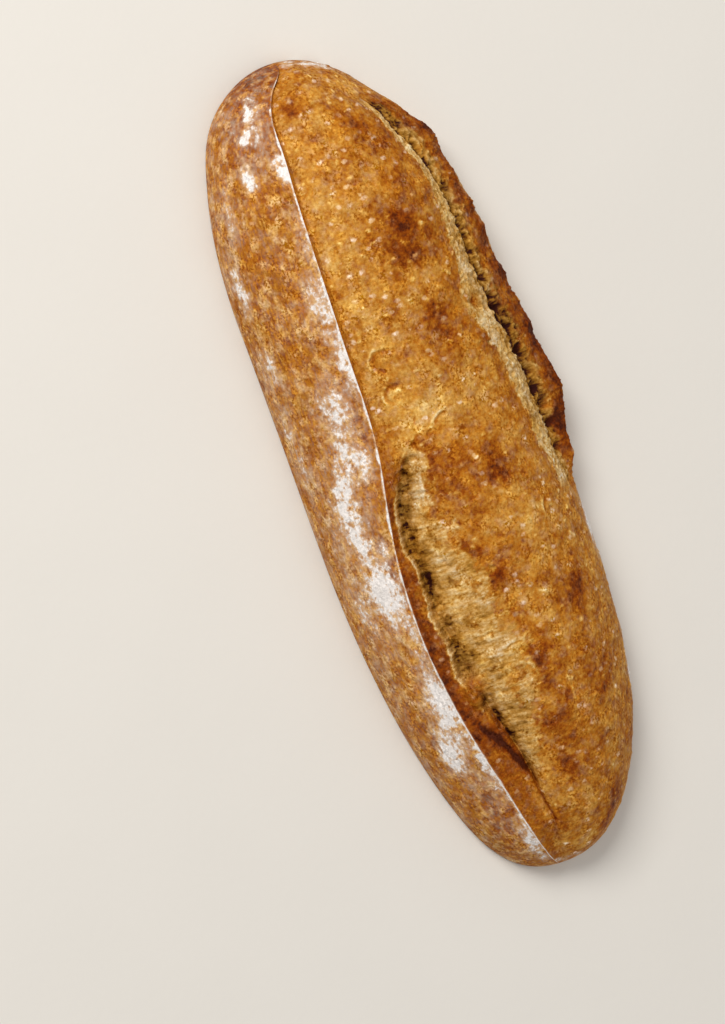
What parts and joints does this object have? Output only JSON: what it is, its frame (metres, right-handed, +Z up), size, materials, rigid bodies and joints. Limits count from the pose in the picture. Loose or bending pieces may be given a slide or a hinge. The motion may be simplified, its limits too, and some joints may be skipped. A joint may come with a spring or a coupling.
{
  "type": "baguette half",
  "caption": "Top half of a short rustic baguette, cut lengthwise: floured flank, long scored ridge and tear, ragged ear, and a flat open-crumb cut face that it rests on.",
  "frame": {"origin": "middle of the loaf's box, on the cut face that it rests on", "axes": "+X along the loaf towards its pointed end, -Y towards the floured flank with the long ridge, +Z up, away from the cut face"},
  "size_m": [0.26, 0.0886, 0.0357],
  "materials": {
    "crust": "baked bread crust, matt to satin, golden to dark brown with flour, and pale open crumb where torn or cut",
    "crumb": "matt pale cream crumb with open pores"
  },
  "bodies": {
    "root": {"baguette_half": "crust"}
  },
  "joints": []
}
